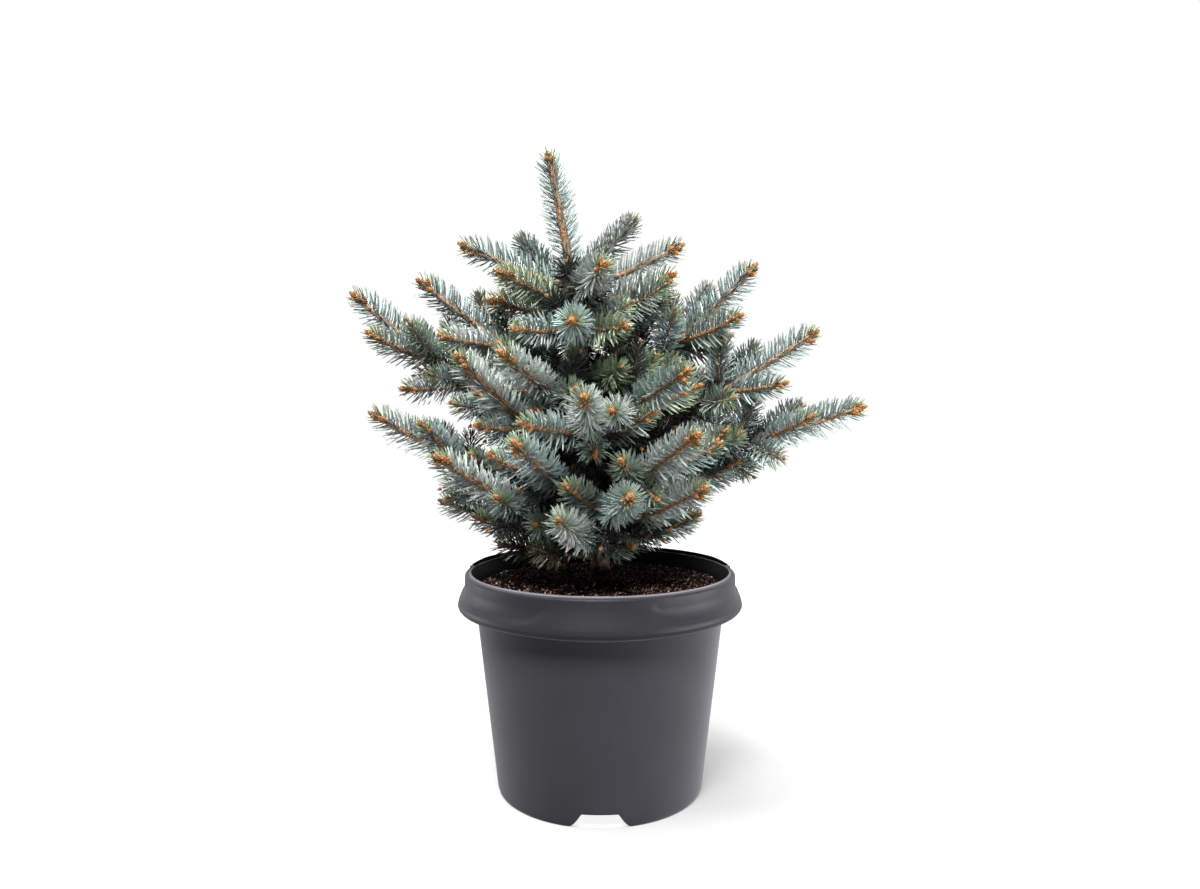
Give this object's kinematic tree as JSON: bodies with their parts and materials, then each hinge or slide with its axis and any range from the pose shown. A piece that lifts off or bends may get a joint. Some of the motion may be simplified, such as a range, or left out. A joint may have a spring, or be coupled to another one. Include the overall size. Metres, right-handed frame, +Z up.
{
  "type": "potted blue spruce",
  "caption": "Young globe blue spruce with rising, needle-covered boughs, in its round nursery pot with a rolled collar.",
  "frame": {"origin": "centre of the pot's flat underside, on the surface that the pot stands on", "axes": "+Z up, +X to the right and +Y to the back, seen from the front of the plant"},
  "size_m": [0.3461, 0.268, 0.425],
  "materials": {
    "pot_plastic": "anthracite grey moulded plastic, satin",
    "soil": "dark brown peat potting soil, matt",
    "bark": "rough brown bark",
    "needles": "blue-grey waxy needles"
  },
  "bodies": {
    "root": {"bough_low_back": "bark", "bough_low_front_left": "bark", "bough_low_front_right": "bark", "bough_low_left": "bark", "bough_low_left_back": "bark", "bough_low_left_front": "bark", "bough_low_right": "bark", "bough_low_right_back": "bark", "bough_low_right_long": "bark", "bough_middle_back": "bark", "bough_middle_front": "bark", "bough_middle_front_left": "bark", "bough_middle_front_right": "bark", "bough_middle_left": "bark", "bough_middle_left_back": "bark", "bough_middle_right": "bark", "bough_middle_right_back": "bark", "leader_needles": "needles", "needles_low_back": "needles", "needles_low_front": "needles", "needles_low_front_foot": "needles", "needles_low_front_left": "needles", "needles_low_front_right": "needles", "needles_low_left": "needles", "needles_low_left_back": "needles", "needles_low_left_foot": "needles", "needles_low_left_front": "needles", "needles_low_left_rear": "needles", "needles_low_right": "needles", "needles_low_right_back": "needles", "needles_low_right_foot": "needles", "needles_low_right_long": "needles", "needles_middle_back": "needles", "needles_middle_front": "needles", "needles_middle_front_left": "needles", "needles_middle_front_right": "needles", "needles_middle_left": "needles", "needles_middle_left_back": "needles", "needles_middle_right": "needles", "needles_middle_right_back": "needles", "needles_top_back": "needles", "needles_top_front": "needles", "needles_top_front_low": "needles", "needles_top_left": "needles", "needles_top_left_back": "needles", "needles_top_left_front": "needles", "needles_top_left_low": "needles", "needles_top_right": "needles", "needles_top_right_back": "needles", "needles_top_right_low": "needles", "needles_upper_back": "needles", "needles_upper_front_left": "needles", "needles_upper_front_right": "needles", "needles_upper_left": "needles", "needles_upper_left_back": "needles", "needles_upper_right": "needles", "needles_upper_right_back": "needles", "pot": "pot_plastic", "potting_soil": "soil", "trunk": "bark"}
  },
  "joints": []
}
